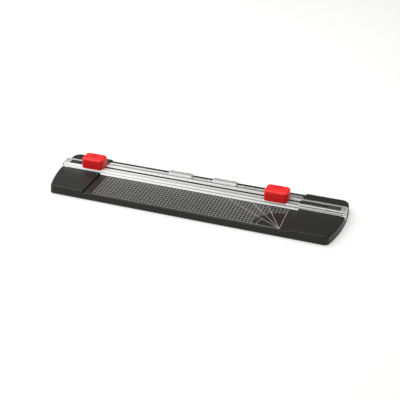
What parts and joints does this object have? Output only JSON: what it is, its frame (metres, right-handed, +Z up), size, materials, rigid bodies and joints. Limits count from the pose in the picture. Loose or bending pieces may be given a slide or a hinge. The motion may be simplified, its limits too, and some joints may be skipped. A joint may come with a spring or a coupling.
{
  "type": "paper trimmer",
  "caption": "Desk paper trimmer: long black base with printed bed, clear rail that lifts at one end, and sprung red sliders that cut or perforate along it.",
  "frame": {"origin": "on the table under the middle of the base", "axes": "+X along the machine to the right of a user who faces it, +Y away from the user, +Z up"},
  "size_m": [0.433, 0.1052, 0.034],
  "materials": {
    "black_abs": "satin moulded ABS",
    "black_plate": "fine moulded texture",
    "zinc_steel": "zinc plated",
    "blade_steel": "ground",
    "spring_steel": "drawn wire",
    "foot_rubber": "matte",
    "strip_plastic": "smooth",
    "clear_acrylic": "clear, polished mould",
    "frosted_acrylic": "frosted",
    "red_abs": "glossy moulded ABS",
    "red_pom": "smooth, low friction"
  },
  "bodies": {
    "base": {"base_shell": "black_abs", "bottom_plate": "black_plate", "base_screws": "zinc_steel", "cutting_strip": "strip_plastic", "hinge_pin": "zinc_steel", "foot_front_left": "foot_rubber", "foot_front_middle": "foot_rubber", "foot_front_right": "foot_rubber", "foot_rear_left": "foot_rubber", "foot_rear_middle": "foot_rubber", "foot_rear_right": "foot_rubber"},
    "rail": {"clear_rail": "clear_acrylic", "finger_grip_left": "frosted_acrylic", "finger_grip_right": "frosted_acrylic"},
    "cutter_carriage": {"cutter_slide_plate": "red_pom", "cutter_slide_shoe": "red_pom", "cutter_shoe_screws": "zinc_steel", "cutter_springs": "spring_steel"},
    "cutter_head": {"cutter_cap": "red_abs", "cutter_blade_holder": "red_pom", "cutter_axle": "blade_steel"},
    "cutter_rotor": {"cutter_wheel": "blade_steel"},
    "perforator_carriage": {"perforator_slide_plate": "red_pom", "perforator_slide_shoe": "red_pom", "perforator_shoe_screws": "zinc_steel", "perforator_springs": "spring_steel"},
    "perforator_head": {"perforator_cap": "red_abs", "perforator_blade_holder": "red_pom", "perforator_axle": "blade_steel"},
    "perforator_rotor": {"perforator_wheel": "blade_steel"}
  },
  "joints": [
    {"name": "rail_lift", "type": "hinge", "parent": "base", "child": "rail", "pos_m": [-0.2079, 0.0154, 0.008], "axis": [0, -1, 0], "range_deg": [0, 50]},
    {"name": "cutter_slide", "type": "slide", "parent": "rail", "child": "cutter_carriage", "axis": [1, 0, 0], "range_m": [-0.0134, 0.2366]},
    {"name": "cutter_press", "type": "slide", "parent": "cutter_carriage", "child": "cutter_head", "axis": [0, 0, -1], "range_m": [0, 0.0015], "stiffness_N_per_m": 800, "springref_m": -0.003, "deforming": ["cutter_springs"]},
    {"name": "cutter_wheel_spin", "type": "hinge", "parent": "cutter_head", "child": "cutter_rotor", "pos_m": [-0.1626, 0.0138, 0.0158], "axis": [0, 1, 0], "continuous": true},
    {"name": "perforator_slide", "type": "slide", "parent": "rail", "child": "perforator_carriage", "axis": [1, 0, 0], "range_m": [-0.00775, 0.05825]},
    {"name": "perforator_press", "type": "slide", "parent": "perforator_carriage", "child": "perforator_head", "axis": [0, 0, -1], "range_m": [0, 0.0015], "stiffness_N_per_m": 800, "springref_m": -0.003, "deforming": ["perforator_springs"]},
    {"name": "perforator_wheel_spin", "type": "hinge", "parent": "perforator_head", "child": "perforator_rotor", "pos_m": [0.11775, 0.0138, 0.0158], "axis": [0, 1, 0], "continuous": true}
  ]
}
